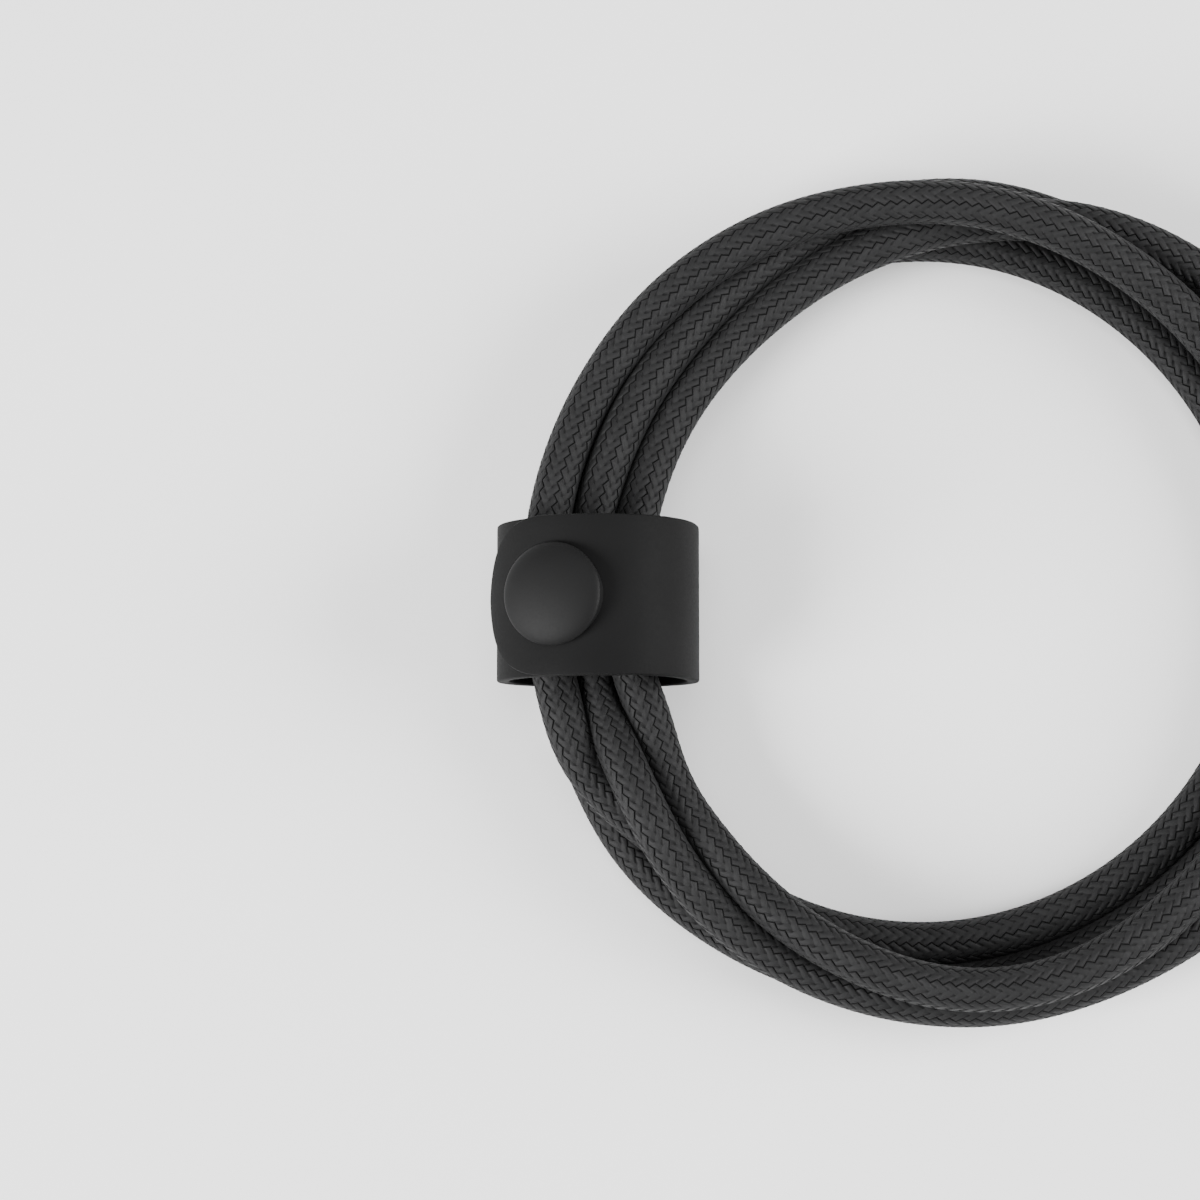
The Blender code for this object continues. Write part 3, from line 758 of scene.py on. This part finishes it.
def solid_strip(name, columns, material, settings):
    """A closed band from (outer, inner, half width) columns, with rounded rims."""
    builder = bmesh.new()
    rings = []
    for outer, inner, half in columns:
        edge = min(settings.edge * RIM_SPREAD, half * 0.5)
        ring = strip_ring(outer, inner, half, edge)
        rings.append([builder.verts.new(point) for point in ring])
    for near, far in zip(rings, rings[1:]):
        for index in range(len(near)):
            after = (index + 1) % len(near)
            builder.faces.new((near[index], near[after], far[after], far[index]))
    builder.faces.new(reversed(rings[0]))
    builder.faces.new(rings[-1])
    bmesh.ops.translate(builder, verts=builder.verts, vec=STRAP_MIDDLE)
    bmesh.ops.recalc_face_normals(builder, faces=builder.faces)
    return object_from(name, builder, material, 40)


def snap_frame():
    """Matrix that stands a piece turned about Z on the snap's axis."""
    base = STRAP_MIDDLE + Vector((0, 0, STRAP_DEPTH))
    return Matrix.Translation(base) @ Matrix.Rotation(radians(SNAP_DEG), 4, "Y")


# ---------------------------------------------------------------- operators


class CABLE_OT_stage(bpy.types.Operator):
    """Lay the pale floor, set the soft lights and place the camera"""

    bl_idname = "cable.stage"
    bl_label = "Stage"

    def execute(self, context):
        scene = context.scene
        middle = STRAP_MIDDLE + Vector(CAMERA_AIM)
        tilt = radians(CAMERA_TILT_DEG)
        look = Vector((0, cos(tilt), -sin(tilt)))
        data = bpy.data.cameras.new("camera")
        data.sensor_width = 36.0
        data.lens = CAMERA_LENS
        data.clip_start = 0.01
        camera = bpy.data.objects.new("camera", data)
        camera.location = middle - look * CAMERA_DISTANCE
        camera.rotation_euler = look.to_track_quat("-Z", "Y").to_euler()
        scene.collection.objects.link(camera)
        scene.camera = camera
        builder = bmesh.new()
        bmesh.ops.create_grid(builder, x_segments=1, y_segments=1, size=3.0)
        bmesh.ops.translate(builder, verts=builder.verts, vec=(0, 0, -FLOOR_DROP))
        material, shader = new_material("floor", (0.95, 0.95, 0.95), 0.9)
        tree = material.node_tree
        speck = noise(tree, 40.0, 2.0)
        paint = blend_colour(tree, speck, (0.94, 0.94, 0.94), (0.96, 0.96, 0.96))
        tree.links.new(paint, shader.inputs["Base Color"])
        floor = object_from("floor", builder, material)
        for name, place, size, power in LAMPS:
            lamp = bpy.data.lights.new(name, "AREA")
            lamp.size = size
            lamp.energy = power
            made = bpy.data.objects.new(name, lamp)
            made.location = middle + Vector(place)
            made.rotation_euler = (middle - made.location).to_track_quat("-Z", "Y").to_euler()
            scene.collection.objects.link(made)
        world = bpy.data.worlds.new("studio")
        world.use_nodes = True
        background = world.node_tree.nodes["Background"]
        background.inputs["Color"].default_value = (1, 1, 1, 1)
        background.inputs["Strength"].default_value = DAYLIGHT
        scene.world = world
        return {"FINISHED"}


class CABLE_OT_cord(bpy.types.Operator):
    """Wind the braided cord into its coil and lead it to both plugs"""

    bl_idname = "cable.cord"
    bl_label = "Braided Cord"

    def execute(self, context):
        settings = context.scene.cable_settings
        line = cord_route(settings.diameter, settings.pitch / 2)
        cord = braided_tube("braided_cord", line, settings, braid_material(settings))
        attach(cord, "cable")
        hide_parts("cable_coil", "lead_a", "lead_b")
        return {"FINISHED"}


class CABLE_OT_strap(bpy.types.Operator):
    """Form the silicone band and the flap that folds over it"""

    bl_idname = "cable.strap"
    bl_label = "Strap"

    def execute(self, context):
        settings = context.scene.strap_settings
        colour = tuple(settings.silicone)
        silicone = grained_material("matte_silicone", colour, 0.66, 5200.0, 0.000012, 0.08)
        wall = settings.wall
        columns = []
        for step in range(BAND_STEPS + 1):
            angle = JOIN_DEG + (360 + INNER_END_DEG - JOIN_DEG) * step / BAND_STEPS
            angle = angle - 360 if angle > 180 else angle
            columns.append((strap_outline(angle), strap_outline(angle, -wall), STRAP_HALF))
        band = solid_strip("strap_loop", columns, silicone, settings)
        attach(band, "strap")
        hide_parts("strap_band")
        columns = []
        reach = radians(JOIN_DEG - TIP_DEG) * (STRAP_RADIUS + wall)
        for step in range(FLAP_STEPS + 1):
            share = 1 - (1 - step / FLAP_STEPS) ** TIP_BUNCHING
            angle = JOIN_DEG + (TIP_DEG - JOIN_DEG) * share
            to_tip = reach * (1 - share)
            half = STRAP_HALF
            if to_tip < STRAP_HALF:
                half = max(sqrt(STRAP_HALF**2 - (STRAP_HALF - to_tip) ** 2), TIP_BLUNT)
            lift = band_lift(angle, settings)
            columns.append((strap_outline(angle, lift), strap_outline(angle, lift - wall), half))
        flap = solid_strip("strap_flap_skin", columns, silicone, settings)
        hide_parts("strap_flap")
        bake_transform(flap)
        return {"FINISHED"}


class CABLE_OT_snap(bpy.types.Operator):
    """Turn the snap's domed cap and bed its skirt on the flap"""

    bl_idname = "cable.snap"
    bl_label = "Snap Cap"

    def execute(self, context):
        settings = context.scene.strap_settings
        flap_radius = STRAP_RADIUS + settings.wall + settings.layer_gap
        rim = flap_radius + CAP_LIFT
        builder = bmesh.new()
        profile = [(0.0, rim + settings.cap_rise)]
        for step in range(1, CAP_STEPS + 1):
            turn = pi / 2 * step / CAP_STEPS
            rise = 0.00012 + (settings.cap_rise - 0.00012) * cos(turn) ** 1.1
            profile.append((settings.cap_radius * sin(turn), rim + rise))
        neck = settings.cap_radius * 0.94
        profile += [(settings.cap_radius * 0.985, rim), (neck, rim - 0.00008)]
        profile += [(neck, rim - CAP_SKIRT)]
        profile += [(HOLLOW_RADIUS, rim + 0.0003), (0.0, rim + 0.0003)]
        line = [builder.verts.new((radius, 0, height)) for radius, height in profile]
        edges = [builder.edges.new(pair) for pair in zip(line, line[1:])]
        bmesh.ops.spin(
            builder, geom=line + edges, axis=(0, 0, 1), angle=2 * pi, steps=72, use_merge=True,
            use_duplicate=False,
        )
        bmesh.ops.remove_doubles(builder, verts=builder.verts, dist=1e-6)
        for vert in builder.verts:
            if vert.co.z < rim - CAP_SKIRT + 0.0001:
                surface = sqrt(max(flap_radius**2 - vert.co.x**2, 0))
                vert.co.z = surface - 0.0001
        bmesh.ops.recalc_face_normals(builder, faces=builder.faces)
        bmesh.ops.transform(builder, matrix=snap_frame(), verts=builder.verts)
        colour = tuple(settings.silicone)
        satin = grained_material("satin_cap", colour, 0.58, 7000.0, 0.000006, 0.13)
        cap = object_from("snap_dome", builder, satin, 40)
        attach(cap, "flap")
        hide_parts("snap_cap")
        return {"FINISHED"}


class CABLE_OT_finishes(bpy.types.Operator):
    """Give each plug and snap piece its own finish"""

    bl_idname = "cable.finishes"
    bl_label = "Plug Finishes"

    def execute(self, context):
        looks = {
            "steel": steel_material(),
            "gold": metal_material("gold_plate", (0.7, 0.5, 0.2), (0.85, 0.65, 0.3), 0.28),
            "copper": metal_material("bare_copper", (0.6, 0.28, 0.15), (0.76, 0.42, 0.26), 0.4),
            "plug_plastic": grained_material(
                "spark_plastic", (0.011, 0.011, 0.0113), 0.5, 4200.0, 0.00002, 0.25
            ),
            "relief_rubber": grained_material(
                "relief_rubber", (0.009, 0.009, 0.0092), 0.6, 5200.0, 0.00001, 0.25
            ),
            "black_plastic": grained_material(
                "insulator_plastic", (0.008, 0.008, 0.008), 0.45, 6000.0, 0.000008, 0.3
            ),
            "board": board_material(),
        }
        slots = {part["node"]: part["material_slot"] for part in frame["record"]["subparts"]}
        for node, slot in slots.items():
            if slot not in looks:
                continue
            shown = frame["nodes"][node]
            if not shown.material_slots:
                shown.data.materials.append(looks[slot])
            for place in shown.material_slots:
                place.material = looks[slot]
        return {"FINISHED"}


class CABLE_PT_panel(bpy.types.Panel):
    """Sizes, colours and one button for each piece"""

    bl_label = "Charging Cable"
    bl_idname = "CABLE_PT_panel"
    bl_space_type = "VIEW_3D"
    bl_region_type = "UI"
    bl_category = "Cable"

    def draw(self, context):
        layout = self.layout
        for settings in (context.scene.cable_settings, context.scene.strap_settings):
            for name in settings.bl_rna.properties.keys():
                if name not in ("rna_type", "name"):
                    layout.prop(settings, name)
        for operator in OPERATORS:
            layout.operator(operator.bl_idname)


OPERATORS = (CABLE_OT_stage, CABLE_OT_cord, CABLE_OT_strap, CABLE_OT_snap, CABLE_OT_finishes)
CLASSES = (CableSettings, StrapSettings, *OPERATORS, CABLE_PT_panel)


def register():
    for cls in CLASSES:
        bpy.utils.register_class(cls)
    bpy.types.Scene.cable_settings = bpy.props.PointerProperty(type=CableSettings)
    bpy.types.Scene.strap_settings = bpy.props.PointerProperty(type=StrapSettings)


def unregister():
    del bpy.types.Scene.strap_settings
    del bpy.types.Scene.cable_settings
    for cls in reversed(CLASSES):
        bpy.utils.unregister_class(cls)


def main():
    """Build every piece in order."""
    register()
    bpy.ops.cable.stage()
    bpy.ops.cable.cord()
    bpy.ops.cable.strap()
    bpy.ops.cable.snap()
    bpy.ops.cable.finishes()


if __name__ == "__main__":
    main()
